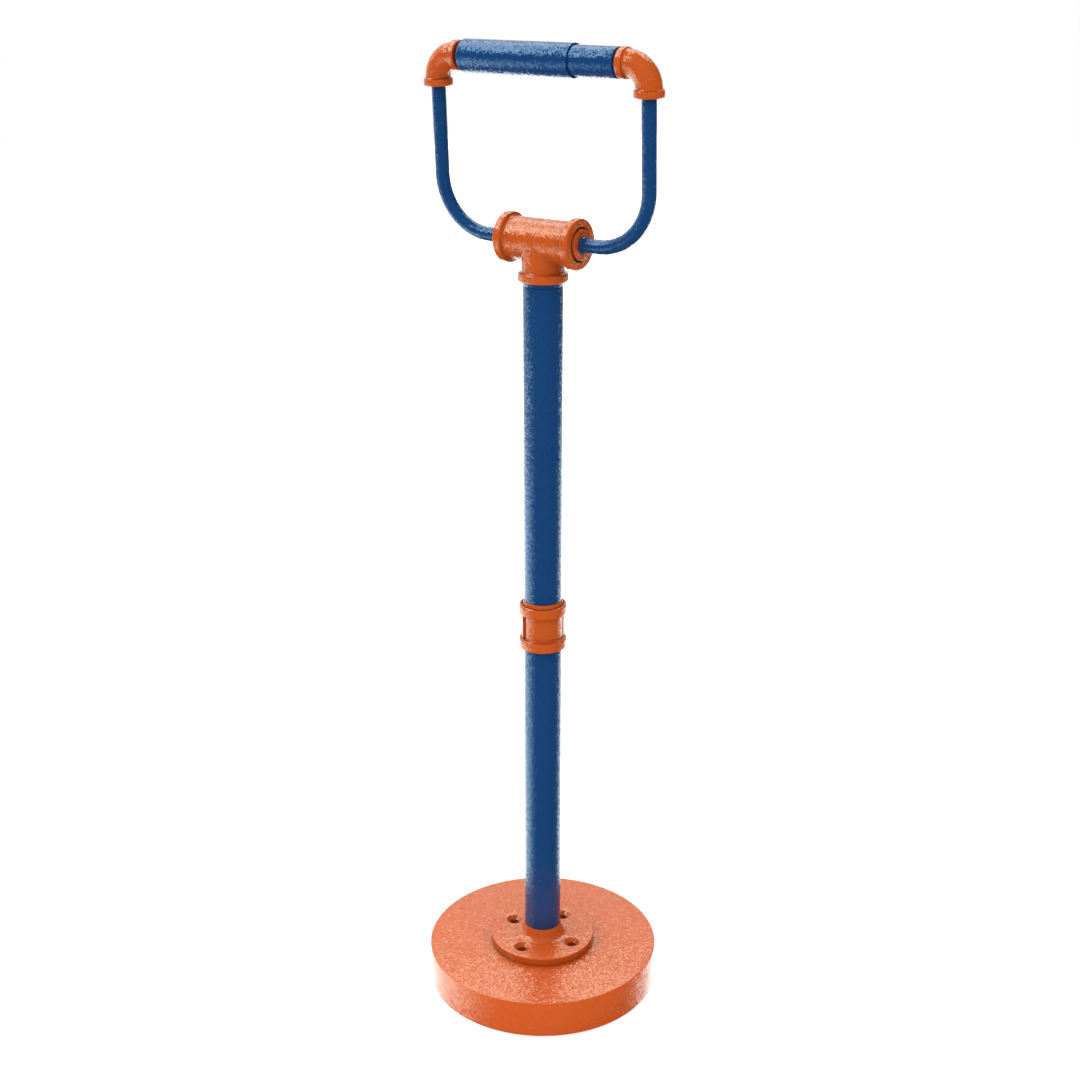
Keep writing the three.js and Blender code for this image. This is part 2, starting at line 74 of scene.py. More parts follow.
# Base and floor flange
BASE_WALL = 1.6 * MM
BASE_EDGE = 0.8 * MM
RIM_EDGE = 0.4 * MM
BOLT_HOLE_R = 4.6 * MM
PAD_HOLE_R = 16 * MM
FLANGE_EDGE = 0.7 * MM
FLANGE_THICK = 5.9 * MM
HUB_TOP_R = 13.7 * MM
HUB_FOOT_R = 15.9 * MM
HUB_FILLET = 5 * MM
SCREW_COUNT = 4
SCREW_CIRCLE_R = 26.8 * MM
SCREW_HOLE_R = 3.35 * MM
SCREW_SINK_R = 6.0 * MM
SCREW_LIP = 0.3 * MM
SCREW_FLARE = 2.4 * MM

# Poles and coupling. A rib is steep on one side and gentle on the other, where it runs out.
POLE_WALL = 1.2 * MM
POLE_EDGE = 0.35 * MM
BAND_EDGE = 1.3 * MM
BAND_ROOT = 0.9 * MM
COUPLING_BAND = 7.5 * MM
COUPLING_BARREL_R = 14 * MM
COUPLING_SOCKET = 5.8 * MM
RIB_R = 15.2 * MM
RIB_WIDE = 5 * MM
RIB_STEEP = 0.45 * MM
RIB_GENTLE = 4 * MM
RIB_ROOT_WIDE = 3 * MM
RIB_ROOT_DEEP = 0.7 * MM
RIB_AZIMUTH = math.radians(45.7)

# Tapered rings, with the stub that screws into a fitting and the plug that sits in the pole
RING_TALL = 2.7 * MM
RING_TOP_R = 13.7 * MM
RING_EDGE = 0.4 * MM
RING_FOOT = 0.15 * MM
FOOT_RING_R = 14.6 * MM
FOOT_RING_GAP = 0.9 * MM
HEAD_RING_R = 14.9 * MM
RECESS_DEEP = 1.3 * MM
THREAD_R = 11 * MM
ADAPTOR_BORE_R = 6 * MM
PLUG_DEEP = 17 * MM

# Tee and its plugs
TEE_R = 14.4 * MM
TEE_BAND_R = 16.95 * MM
TEE_BRANCH_BAND_R = 16.85 * MM
TEE_BAND = 6.3 * MM
TEE_BORE_R = 11.5 * MM
TEE_VOXEL = 0.36 * MM
TEE_SMOOTHING = 9
PLUG_R = 11.15 * MM
PLUG_FACE_R = 10.3 * MM
PLUG_STEP = 27.4 * MM
PLUG_EDGE = 0.5 * MM

# Arms, collars and elbows
ARM_R = 4.7625 * MM
ARM_BEND_R = 38 * MM
ARM_STUB_R = 4 * MM
ARM_STUB_IN = 11 * MM
ARM_SEAT = 12 * MM
BEND_STEPS = 28
ELBOW_REACH = 20 * MM
ELBOW_R = 8.5 * MM
ELBOW_BAND_R = 9.8 * MM
ELBOW_BAND = 5 * MM
ELBOW_BAND_EDGE = 1.04 * MM
ELBOW_ENDS = 4  # steps of the bend that the roots of the bands take up, at each end
BUSH_SEAT = 9 * MM
BUSH_R = 6.7 * MM
BUSH_BORE_R = 3.4 * MM

# Roller
OUTER_WALL = 0.5 * MM
INNER_WALL = 0.6 * MM
LIP_R = 10 * MM
LIP_LONG = 1.5 * MM
LIP_EDGE = 0.22 * MM
END_THICK = 1.0 * MM
END_EDGE = 2.0 * MM
INNER_TUBE_R = 9.7 * MM
PIN_R = 3.0 * MM
PIN_HEAD_THICK = 2.0 * MM
PIN_HEAD_R = 8.3 * MM
SPRING_R = 7.4 * MM
SPRING_WIRE_R = 0.65 * MM
SPRING_WIRE_SIDES = 12
SPRING_TURNS = 7
SPRING_STEPS = 24

# The span that nearly all of a noise lies in
NOISE_SPAN = (0.3, 0.7)

# Powder coat: features per metre and how far they stand out
GRAIN_SCALE = 750
GRAIN_DEEP = 0.15 * MM
FACET_SCALE = 900
FACET_TILT = 0.22
PEEL_SCALE = 260
PEEL_DEEP = 0.12 * MM
DRIFT_SCALE = 14
# Shares of the grain that go from deep to the middle colour, and from there to pale
DEEP_GRAINS = (0.30, 0.52)
PALE_GRAINS = (0.62, 0.85)
DRIFT_SHARE = 0.3
COAT_ROUGHNESS = (0.18, 0.14)
# Painted shade: a place is darkened as far as things within this reach close it in
PAINTED_SHADE_REACH = 25 * MM
PAINTED_SHADE_SAMPLES = 8
PAINTED_SHADE_OPEN = (0.25, 1.0)
# Colours of the deep, middle and pale grains, of the painted shade in hollows and corners, and of what the coat
# reflects
ORANGE = [
    (0.64, 0.098, 0.015),
    (0.70, 0.112, 0.018),
    (0.76, 0.15, 0.04),
    (0.30, 0.048, 0.009),
    (0.95, 1.0, 0.72),
]
# The orange coat's colours made darker for the fittings: painted shade
SHADED_ORANGE = [
    (0.54, 0.082, 0.010),
    (0.60, 0.095, 0.012),
    (0.68, 0.130, 0.028),
    (0.26, 0.040, 0.007),
    (0.95, 1.0, 0.72),
]
BLUE = [
    (0.0065, 0.049, 0.165),
    (0.0075, 0.055, 0.182),
    (0.014, 0.075, 0.22),
    (0.004, 0.027, 0.09),
    (0.40, 0.74, 1.0),
]

# Studio, as reflections see it: bands of light wrapped round the back of the object. Their middle
# is turned left from straight behind it, in degrees.
BANDS_TURN = 22
# A band's level, then where it comes up to that level: from its ends, as cosines of the turn from
# its middle, and from its lower and its upper edge, as sines of the height
BANDS = {
    "floor": (2.4, (-0.42, 0.62), (-0.72, -0.60), (-0.16, -0.32)),
    "wall": (1.2, (0.45, 0.75), (-0.24, -0.10), (0.56, 0.43)),
    "ceiling": (3.4, (0.10, 0.60), (0.58, 0.68), (0.94, 0.85)),
}
# A small lamp at the left: its turn and height in degrees, and the cosines of its soft edge
LAMP_TURN = 98
LAMP_RISE = 38
LAMP_EDGE = (0.970, 0.992)
LAMP_LEVEL = 5
DIM_LEVEL = 0.03
BACKDROP_LEVEL = 1.0
# Soft suns that only light diffuse colour: degrees left of the camera, height, strength, spread
SUNS = {
    "front_fill": (-8, 22, 1.5, 100),
    "top_soft": (60, 75, 2.1, 130),
    "left_soft": (95, 15, 0.8, 100),
    "back_soft": (180, 25, 1.2, 130),
}
# The floor's own glow grows from its least near the object to 1 further out
FLOOR_R = 6
FLOOR_NEAR = 0.12
FLOOR_FAR = 0.30
FLOOR_GLOW = 0.45

# ---------------------------------------------------------------- places, from the frame

joints = {joint["name"]: joint for joint in frame["joints"]}
tee_centre = Vector(joints["yoke_swivel"]["pos_m"])
roller_axis = Vector(joints["roller_spin"]["pos_m"])
to_roller = roller_axis - tee_centre
roller_rise = to_roller.length
yoke_lean = math.atan2(-to_roller.y, to_roller.z)
YOKE = Matrix.Translation(tee_centre) @ Matrix.Rotation(yoke_lean, 4, "X")
ROLLER = YOKE @ Matrix.Translation((0, 0, roller_rise))
ALONG_X = Matrix.Rotation(math.pi / 2, 4, "Y")
SIDES = {"left": Matrix.Rotation(math.pi, 4, "Z"), "right": Matrix.Identity(4)}
arm_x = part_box("elbow_right")[0].x + ELBOW_REACH
plug_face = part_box("tee_plug_right")[1].x

# ---------------------------------------------------------------- camera

CAMERA_PLACE = (0.62825, -0.88899, 0.74751)
CAMERA_TILT = math.radians(70.086)
CAMERA_HEADING = math.radians(35.357)
CAMERA_LENS = 54.87
SENSOR = 36


def make_camera():
    data = bpy.data.cameras.new("camera")
    data.lens = CAMERA_LENS
    data.sensor_width = SENSOR
    camera = bpy.data.objects.new("camera", data)
    camera.location = CAMERA_PLACE
    camera.rotation_euler = (CAMERA_TILT, 0, CAMERA_HEADING)
    bpy.context.scene.collection.objects.link(camera)
    bpy.context.scene.camera = camera


# ---------------------------------------------------------------- shape helpers


def outline(corners):
    """The points through corners (radius, place[, fillet]), with each fillet rounded off."""
    count = len(corners)
    points = []
    for i, (radius, place, *fillet) in enumerate(corners):
        corner = Vector((radius, place))
        if not fillet:
            points.append(corner)
            continue
        back = (Vector(corners[i - 1][:2]) - corner).normalized()
        on = (Vector(corners[(i + 1) % count][:2]) - corner).normalized()
        half = back.angle(on) / 2
        centre = corner + (back + on).normalized() * fillet[0] / math.sin(half)
        reach = fillet[0] / math.tan(half)
        start = corner + back * reach - centre
        end = corner + on * reach - centre
        sweep = math.atan2(start.cross(end), start.dot(end))
        for step in range(FILLET_STEPS + 1):
            points.append(centre + Matrix.Rotation(sweep * step / FILLET_STEPS, 2) @ start)
    return points


def new_object(name, mesh):
    """Links a mesh as an object, smooth except at its sharp edges."""
    mesh.shade_smooth()
    mesh.set_sharp_from_angle(angle=SHARP_ANGLE)
    made = bpy.data.objects.new(name, mesh)
    bpy.context.scene.collection.objects.link(made)
    return made


def skin(name, rings, sides, closed=False):
    """A surface through rings (frame, radius). A radius is a length, or a function of the angle
    round the ring, and a radius of 0 is one point. A closed skin joins its last ring to its first."""
    bm = bmesh.new()
    loops = []
    angles = [2 * math.pi * i / sides for i in range(sides)]
    for place, radius in rings:
        if radius == 0:
            loops.append([bm.verts.new(place.to_translation())] * sides)
            continue
        reach = radius if callable(radius) else lambda angle, fixed=radius: fixed
        loops.append(
            [
                bm.verts.new(place @ Vector((reach(a) * math.cos(a), reach(a) * math.sin(a), 0)))
                for a in angles
            ]
        )
    followers = loops[1:] + loops[:1] if closed else loops[1:]
    for near, far in zip(loops, followers):
        for i in range(sides):
            j = (i + 1) % sides
            bm.faces.new(list(dict.fromkeys((near[i], near[j], far[j], far[i]))))
    bmesh.ops.recalc_face_normals(bm, faces=bm.faces)
    mesh = bpy.data.meshes.new(name)
    bm.to_mesh(mesh)
    bm.free()
    return new_object(name, mesh)


def turned(name, corners, sides, place=Matrix.Identity(4)):
    """A solid turned about the local Z axis of place: a ring where its corners stay off the axis."""
    points = outline(corners)
    rings = [(place @ Matrix.Translation((0, 0, point.y)), point.x) for point in points]
    return skin(name, rings, sides, closed=corners[0][0] > 0)


def baked(target):
    """Turns an object's modifiers into its mesh."""
    graph = bpy.context.evaluated_depsgraph_get()
    mesh = bpy.data.meshes.new_from_object(target.evaluated_get(graph))
    target.modifiers.clear()
    target.data = mesh
    return target


def carve(target, tools):
    """Cuts the tools out of target and removes them."""
    for tool in tools:
        cut = target.modifiers.new("cut", "BOOLEAN")
        cut.operation = "DIFFERENCE"
        cut.solver = "EXACT"
        cut.object = tool
    baked(target)
    for tool in tools:
        bpy.data.objects.remove(tool)
    target.data.shade_smooth()
    target.data.set_sharp_from_angle(angle=SHARP_ANGLE)
    return target


class QuarterBend:
    """A line that runs straight, turns a quarter and runs straight again."""

    def __init__(self, start, first, last, before, radius, after):
        self.start = start
        self.first = first
        self.last = last
        self.before = before
        self.radius = radius
        arc = radius * math.pi / 2
        self.bent = before + arc
        self.length = before + arc + after
        self.bends = [before + arc * step / BEND_STEPS for step in range(BEND_STEPS + 1)]

    def frame(self, along):
        """The frame at a distance along the line, with its Z along the line."""
        turn = min(max((along - self.before) / self.radius, 0), math.pi / 2)
        past = max(along - self.bent, 0)
        forth = min(along, self.before) + self.radius * math.sin(turn)
        aside = self.radius * (1 - math.cos(turn)) + past
        ahead = self.first * math.cos(turn) + self.last * math.sin(turn)
        across = self.first.cross(self.last)
        turned_to = Matrix((across.cross(ahead), across, ahead)).transposed().to_4x4()
        place = self.start + self.first * forth + self.last * aside
        return Matrix.Translation(place) @ turned_to


# ---------------------------------------------------------------- materials


class Nodes:
    """A node tree being built."""

    def __init__(self, tree):
        self.tree = tree

    def add(self, kind, values=(), **settings):
        """A node with its settings, and its inputs set or linked by name or number."""
        made = self.tree.nodes.new(kind)
        for name, value in settings.items():
            setattr(made, name, value)
        for key, value in dict(values).items():
            if isinstance(value, bpy.types.NodeSocket):
                self.tree.links.new(value, made.inputs[key])
            else:
                made.inputs[key].default_value = value
        return made

    def math(self, operation, *values):
        """One of Blender's own sums on numbers or sockets."""
        made = self.add("ShaderNodeMath", enumerate(values), operation=operation)
        return made.outputs[0]

    def vector(self, operation, *values):
        """One of Blender's own sums on vectors."""
        made = self.add("ShaderNodeVectorMath", enumerate(values), operation=operation)
        return made.outputs["Value" if operation in ("DOT_PRODUCT", "LENGTH") else "Vector"]

    def spread(self, value, low, high, to_low=0.0, to_high=1.0, ease="LINEAR"):
        """Value from low to high, spread over to_low to to_high."""
        values = {
            "Value": value,
            "From Min": low,
            "From Max": high,
            "To Min": to_low,
            "To Max": to_high,
        }
        made = self.add("ShaderNodeMapRange", values, interpolation_type=ease)
        return made.outputs["Result"]


class Finish(Nodes):
    """A material being built from shader nodes."""

    def __init__(self, name):
        self.material = bpy.data.materials.new(name)
        self.material.use_nodes = True
        super().__init__(self.material.node_tree)
        self.shader = self.tree.nodes["Principled BSDF"]
        self.place = self.add("ShaderNodeTexCoord").outputs["Object"]

    def noise(self, scale, detail=2.0, roughness=0.5, place=None):
        """A noise from 0 to 1, whose features are about 1/scale metres across."""
        values = {
            "Vector": place or self.place,
            "Scale": scale,
            "Detail": detail,
            "Roughness": roughness,
        }
        return self.add("ShaderNodeTexNoise", values).outputs["Fac"]

    def mix(self, share, one, other):
        """One colour going over to the other as share goes from 0 to 1. The node's sockets for
        these go by number, as each of its kinds of value has a set with the same names."""
        values = {0: share, 6: one, 7: other}
        return self.add("ShaderNodeMix", values, data_type="RGBA").outputs[2]

    def bump(self, height, distance, onto=None):
        """A bump of up to distance in metres, on top of another."""
        values = {"Height": height, "Distance": distance}
        if onto is not None:
            values["Normal"] = onto
        return self.add("ShaderNodeBump", values).outputs["Normal"]

    def facets(self, scale, tilt, onto):
        """Small flat grains, each leant its own way by up to half of tilt."""
        cells = self.add("ShaderNodeTexVoronoi", {"Vector": self.place, "Scale": scale})
        lean = self.vector("MULTIPLY_ADD", cells.outputs["Color"], (tilt,) * 3, (-tilt / 2,) * 3)
        return self.vector("NORMALIZE", self.vector("ADD", lean, onto))

    def set(self, **values):
        """Sets or links the shader's own inputs."""
        for key, value in values.items():
            name = key.replace("_", " ").title().replace("Ior", "IOR")
            if isinstance(value, bpy.types.NodeSocket):
                self.tree.links.new(value, self.shader.inputs[name])
            else:
                self.shader.inputs[name].default_value = value


def rgb(red, green, blue):
    return (red, green, blue, 1.0)


def powder_coat(name, colours):
    """Satin powder coat: a fine grain on a slow orange peel, with painted shade darkening its hollows and corners.
    """
    deep, body, pale, painted_shade, tint = [rgb(*colour) for colour in colours]
    made = Finish(name)
    grain = made.noise(GRAIN_SCALE, detail=2.5, roughness=0.6)
    peel = made.noise(PEEL_SCALE, detail=1.0)
    drift = made.noise(DRIFT_SCALE, detail=1.0)
    colour = made.mix(made.spread(grain, *DEEP_GRAINS), deep, body)
    colour = made.mix(made.spread(grain, *PALE_GRAINS), colour, pale)
    colour = made.mix(made.spread(drift, *NOISE_SPAN, 0, DRIFT_SHARE), colour, deep)
    # Painted shade: the colour goes over to the shade colour where nearby surfaces close a place in
    occlusion = made.add(
        "ShaderNodeAmbientOcclusion",
        {"Distance": PAINTED_SHADE_REACH},
        samples=PAINTED_SHADE_SAMPLES,
    )
    colour = made.mix(made.spread(occlusion.outputs["AO"], *PAINTED_SHADE_OPEN), painted_shade, colour)
    relief = made.bump(peel, PEEL_DEEP)
    relief = made.bump(grain, GRAIN_DEEP, onto=relief)
    relief = made.facets(FACET_SCALE, FACET_TILT, relief)
    made.set(
        base_color=colour,
        roughness=made.spread(grain, *NOISE_SPAN, *COAT_ROUGHNESS),
        specular_ior_level=1.0,
        specular_tint=tint,
        normal=relief,
    )
    return made.material


def plated_steel():
    """Zinc plate: fine brushing round the part, with a slightly uneven tone."""
    made = Finish("plated_steel")
    stretched = made.add(
        "ShaderNodeMapping",
        {"Vector": made.place, "Scale": (1.0, 1.0, 14.0)},
    ).outputs["Vector"]
    brushing = made.noise(900, detail=3.0, place=stretched)
    cloud = made.noise(120, detail=2.0)
    colour = made.mix(cloud, rgb(0.42, 0.43, 0.45), rgb(0.62, 0.63, 0.64))
    made.set(
        base_color=colour,
        metallic=1.0,
        roughness=made.spread(brushing, *NOISE_SPAN, 0.26, 0.42),
        normal=made.bump(brushing, 0.02 * MM),
    )
    return made.material


def cast_weight():
    """Rough cast iron under a dark sealing coat."""
    made = Finish("cast_weight")
    lumps = made.noise(160, detail=4.0)
    pits = made.noise(800, detail=3.0)
    colour = made.mix(lumps, rgb(0.035, 0.035, 0.038), rgb(0.10, 0.098, 0.095))
    relief = made.bump(pits, 0.15 * MM, onto=made.bump(lumps, 0.5 * MM))
    made.set(
        base_color=colour,
        metallic=0.5,
        roughness=made.spread(pits, *NOISE_SPAN, 0.6, 0.85),
        normal=relief,
    )
    return made.material


def pad_rubber():
    """Foam rubber: an open, dull grain."""
    made = Finish("pad_rubber")
    cells = made.noise(1500, detail=3.0, roughness=0.65)
    scuffs = made.noise(60, detail=3.0)
    colour = made.mix(cells, rgb(0.008, 0.008, 0.009), rgb(0.03, 0.03, 0.032))
    colour = made.mix(made.spread(scuffs, 0.55, 0.8, 0.0, 0.4), colour, rgb(0.06, 0.058, 0.055))
    made.set(
        base_color=colour,
        roughness=made.spread(scuffs, *NOISE_SPAN, 0.95, 0.82),
        normal=made.bump(cells, 0.2 * MM),
    )
    return made.material


def black_nylon():
    """Moulded nylon with a fine, even matte grain."""
    made = Finish("black_nylon")
    grain = made.noise(2200, detail=2.0)
    flow = made.noise(90, detail=1.0)
    colour = made.mix(flow, rgb(0.014, 0.015, 0.017), rgb(0.028, 0.029, 0.032))
    made.set(
        base_color=colour,
        roughness=made.spread(grain, *NOISE_SPAN, 0.48, 0.62),
        normal=made.bump(grain, 0.03 * MM),
    )
    return made.material


MATERIALS = {
    "orange_coat": powder_coat("orange_coat", ORANGE),
    "blue_coat": powder_coat("blue_coat", BLUE),
    "plated_steel": plated_steel(),
    "cast_weight": cast_weight(),
    "pad_rubber": pad_rubber(),
    "black_nylon": black_nylon(),
}

# Painted shade: the fittings take a darker copy of the orange coat, so that they come out darker than the base and
# its flange
SHADED_COAT = powder_coat("orange_coat_painted_shade", SHADED_ORANGE)
SHADED_FITTINGS = {
    "coupling",
    "upper_pole_foot_adaptor",
    "tee",
    "tee_plug_left",
    "tee_plug_right",
    "elbow_left",
    "elbow_right",
}

slot_of = {row["node"]: row["material_slot"] for row in frame["record"]["subparts"]}
bodies = frame["record"]["behaviour"]["bodies"]
body_of = {node: body for body, nodes in bodies.items() for node in nodes}


def finish_of(node):
    return SHADED_COAT if node in SHADED_FITTINGS else MATERIALS[slot_of[node]]


def stand_in(piece, node):
    """Gives a piece the body, slot and finish of the CAD node that it replaces."""
    piece.data.materials.clear()
    piece.data.materials.append(finish_of(node))
    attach(piece, body_of[node])
    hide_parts(node)
    return piece


def finish_node(node):
    """Gives a CAD node that stays its finish."""
    kept = frame["nodes"][node]
    kept.data.materials.clear()
    kept.data.materials.append(finish_of(node))


# ---------------------------------------------------------------- base and flange


def make_base():
    low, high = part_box("base_shell")
    inside = high.x - BASE_WALL
    ceiling = high.z - BASE_WALL
    shell = turned(
        "base_cover",
        [
            (BOLT_HOLE_R, ceiling),
            (inside, ceiling, BASE_EDGE),
            (inside, low.z),
            (high.x, low.z, RIM_EDGE),
            (high.x, high.z, BASE_EDGE),
            (BOLT_HOLE_R, high.z),
        ],
        WIDE_SIDES,
    )
    stand_in(shell, "base_shell")
    low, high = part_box("base_pad")
    pad = turned(
        "floor_pad",
        [
            (PAD_HOLE_R, low.z, RIM_EDGE),
            (high.x, low.z, RIM_EDGE),
            (high.x, high.z),
            (PAD_HOLE_R, high.z),
        ],
        WIDE_SIDES,
    )
    stand_in(pad, "base_pad")


def make_flange():
    low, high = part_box("floor_flange")
    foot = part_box("base_shell")[1].z
    top = foot + FLANGE_THICK
    plate = turned(
        "flange",
        [
            (BOLT_HOLE_R, low.z),
            (high.x, low.z),
            (high.x, top, FLANGE_EDGE),
            (HUB_FOOT_R, top, HUB_FILLET),
            (HUB_TOP_R, high.z),
            (BOLT_HOLE_R, high.z),
        ],
        WIDE_SIDES,
    )
    sink = SCREW_SINK_R - SCREW_HOLE_R
    tools = []
    for i in range(SCREW_COUNT):
        angle = 2 * math.pi * i / SCREW_COUNT
        centre = (SCREW_CIRCLE_R * math.cos(angle), SCREW_CIRCLE_R * math.sin(angle), 0)
        drill = turned(
            f"drill_{i}",
            [
                (0, low.z - MM),
                (SCREW_HOLE_R, low.z - MM),
                (SCREW_HOLE_R, top - sink),
                (SCREW_SINK_R, top - SCREW_LIP / 2, SCREW_LIP),
                (SCREW_SINK_R + SCREW_FLARE, top + SCREW_LIP),
                (0, top + SCREW_LIP),
            ],
            ROD_SIDES,
            Matrix.Translation(centre),
        )
        tools.append(drill)
    stand_in(carve(plate, tools), "floor_flange")


# ---------------------------------------------------------------- poles and coupling


def make_pole(name, node, low_z, high_z):
    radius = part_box(node)[1].x
    tube = turned(
        name,
        [
            (radius - POLE_WALL, low_z),
            (radius, low_z, POLE_EDGE),
            (radius, high_z, POLE_EDGE),
            (radius - POLE_WALL, high_z),
        ],
        TUBE_SIDES,
    )
    stand_in(tube, node)


def eased(share):
    """A share from 0 to 1 that starts and ends gently."""
    share = min(max(share, 0), 1)
    return share * share * (3 - 2 * share)


def ribbed(least, angle):
    """How far the barrel of the coupling reaches at an angle: out to least, and to RIB_R at its
    two ribs. Each rib is steep on one side, over a shallow hollow, and gentle on the other."""
    off = (angle - RIB_AZIMUTH + math.pi / 2) % math.pi - math.pi / 2
    aside = abs(COUPLING_BARREL_R * math.sin(off)) - RIB_WIDE / 2
    if off > 0:
        rib = eased(0.5 - aside / RIB_STEEP)
        hollow = RIB_ROOT_DEEP * eased(1 - aside / RIB_ROOT_WIDE) * (1 - rib)
    else:
        rib = eased(1 - aside / RIB_GENTLE)
        hollow = 0
    return max(least, COUPLING_BARREL_R + (RIB_R - COUPLING_BARREL_R) * rib) - hollow


def make_coupling():
    low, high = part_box("coupling")
    lower = low.z + COUPLING_BAND
    upper = high.z - COUPLING_BAND
    socket_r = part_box("lower_pole")[1].x + GAP
    recess_r = FOOT_RING_R + FOOT_RING_GAP

    whole = outline(
        [
            (socket_r, low.z),
            (high.x, low.z, BAND_EDGE),
            (high.x, lower, BAND_EDGE),
            (COUPLING_BARREL_R, lower, BAND_ROOT),
            (COUPLING_BARREL_R, upper, BAND_ROOT),
            (high.x, upper, BAND_EDGE),
            (high.x, high.z, BAND_EDGE),
            (recess_r, high.z),
            (recess_r, high.z - RECESS_DEEP),
            (THREAD_R + GAP, high.z - RECESS_DEEP),
            (THREAD_R + GAP, low.z + COUPLING_SOCKET),
            (socket_r, low.z + COUPLING_SOCKET),
        ]
    )
    rings = []
    for point in whole:
        radius = point.x
        if lower - MM < point.y < upper + MM and THREAD_R + MM < radius:
            radius = partial(ribbed, point.x)
        rings.append((Matrix.Translation((0, 0, point.y)), radius))
    made = skin("pole_coupling", rings, COUPLING_SIDES, closed=True)
    stand_in(made, "coupling")


def make_ring(name, node, ring_r, face, up):
    """A tapered ring against a fitting's face, with its stub and its plug. up is 1 where the
    tube is above the face and -1 where it is below."""
    plug_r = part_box("upper_pole")[1].x - POLE_WALL - GAP
    place = Matrix.Translation((0, 0, face)) @ Matrix.Rotation(0 if up > 0 else math.pi, 4, "X")
    made = turned(
        name,
        [
            (ADAPTOR_BORE_R, COUPLING_SOCKET - PLUG_DEEP),
            (THREAD_R, COUPLING_SOCKET - PLUG_DEEP),
            (THREAD_R, GAP - RECESS_DEEP),
            (ring_r, GAP - RECESS_DEEP),
            (ring_r, RING_FOOT, RING_EDGE),
            (RING_TOP_R, RING_TALL, RING_EDGE / 2),
            (plug_r, RING_TALL),
            (plug_r, RING_TALL + PLUG_DEEP),
            (ADAPTOR_BORE_R, RING_TALL + PLUG_DEEP),
        ],
        TUBE_SIDES,
        place,
    )
    stand_in(made, node)


def make_poles():
    coupling_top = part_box("coupling")[1].z
    tee_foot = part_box("tee")[0].z
    hub_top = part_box("floor_flange")[1].z
    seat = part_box("lower_pole")[1].z
    make_pole("pole_lower", "lower_pole", hub_top + SNUG, seat)
    make_pole(
        "pole_upper",
        "upper_pole",
        coupling_top + RING_TALL + SNUG,
        tee_foot - RING_TALL - SNUG,
    )
    make_ring("ring_above_coupling", "upper_pole_foot_adaptor", FOOT_RING_R, coupling_top, 1)
    make_ring("ring_below_tee", "upper_pole_top_adaptor", HEAD_RING_R, tee_foot, -1)


# ---------------------------------------------------------------- tee


def joined(name, parts):
    """Several closed solids melted into one skin with soft inside corners."""
    bm = bmesh.new()
    for part in parts:
        bm.from_mesh(part.data)
        bpy.data.objects.remove(part)
    mesh = bpy.data.meshes.new(name)
    bm.to_mesh(mesh)
    bm.free()
    made = new_object(name, mesh)
    remesh = made.modifiers.new("melt", "REMESH")
    remesh.mode = "VOXEL"
    remesh.voxel_size = TEE_VOXEL
    soften = made.modifiers.new("soften", "SMOOTH")
    soften.factor = 0.5
    soften.iterations = TEE_SMOOTHING
    return baked(made)


def make_tee():
    low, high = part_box("tee")
    half = high.x
    drop = tee_centre.z - low.z
    root_x = half - TEE_BAND
    root_z = drop - TEE_BAND
    centre = Matrix.Translation(tee_centre)
    run = turned(
        "run",
        [
            (0, -half),
            (TEE_BAND_R, -half, BAND_EDGE),
            (TEE_BAND_R, -root_x, BAND_EDGE),
            (TEE_R, -root_x, BAND_ROOT),
            (TEE_R, root_x, BAND_ROOT),
            (TEE_BAND_R, root_x, BAND_EDGE),
            (TEE_BAND_R, half, BAND_EDGE),
            (0, half),
        ],
        FITTING_SIDES,
        centre @ ALONG_X,
    )
    branch = turned(
        "branch",
        [
            (0, -drop),
            (TEE_BRANCH_BAND_R, -drop, BAND_EDGE),
            (TEE_BRANCH_BAND_R, -root_z, BAND_EDGE),
            (TEE_R, -root_z, BAND_ROOT),
            (TEE_R, 0),
            (0, 0),
        ],
        FITTING_SIDES,
        centre,
    )
    bores = [
        turned(
            "bore_run",
            [(0, -half - MM), (TEE_BORE_R, -half - MM), (TEE_BORE_R, half + MM), (0, half + MM)],
            FITTING_SIDES,
            centre @ ALONG_X,
        ),
        turned(
            "bore_branch",
            [
                (0, -drop - MM),
                (HEAD_RING_R + GAP, -drop - MM),
                (HEAD_RING_R + GAP, RECESS_DEEP - drop),
                (THREAD_R + GAP, RECESS_DEEP - drop),
                (THREAD_R + GAP, 0),
                (0, 0),
            ],
            FITTING_SIDES,
            centre,
        ),
    ]
    stand_in(carve(joined("tee_body", [run, branch]), bores), "tee")


def make_plug(side):
    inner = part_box("tee_plug_right")[0].x
    made = turned(
        f"plug_{side}",
        [
            (ARM_STUB_R + GAP, inner),
            (PLUG_R, inner),
            (PLUG_R, PLUG_STEP),
            (PLUG_FACE_R, PLUG_STEP),
            (PLUG_FACE_R, plug_face, PLUG_EDGE),
            (ARM_STUB_R + GAP, plug_face),
        ],
        TUBE_SIDES,
        Matrix.Translation(tee_centre) @ SIDES[side] @ ALONG_X,
    )
    stand_in(made, f"tee_plug_{side}")


# ---------------------------------------------------------------- yoke


def make_arm(side):
    """The bent bar with its stub, drawn about the tee's centre and leant with the yoke."""
    shoulder = plug_face + GAP
    top = roller_rise - ELBOW_REACH + ARM_SEAT
    line = QuarterBend(
        Vector((shoulder, 0, 0)),
        Vector((1, 0, 0)),
        Vector((0, 0, 1)),
        arm_x - ARM_BEND_R - shoulder,
        ARM_BEND_R,
        top - ARM_BEND_R,
    )
    place = YOKE @ SIDES[side]
    start = place @ line.frame(0)
    rings = [
        (start @ Matrix.Translation((0, 0, ARM_STUB_IN - shoulder)), 0),
        (start @ Matrix.Translation((0, 0, ARM_STUB_IN - shoulder)), ARM_STUB_R),
        (start, ARM_STUB_R),
        (start, ARM_R),
    ]
    rings += [(place @ line.frame(along), ARM_R) for along in line.bends]
    end = place @ line.frame(line.length)
    rings += [(end, ARM_R), (end, 0)]
    stand_in(skin(f"bar_{side}", rings, ROD_SIDES), f"arm_{side}")


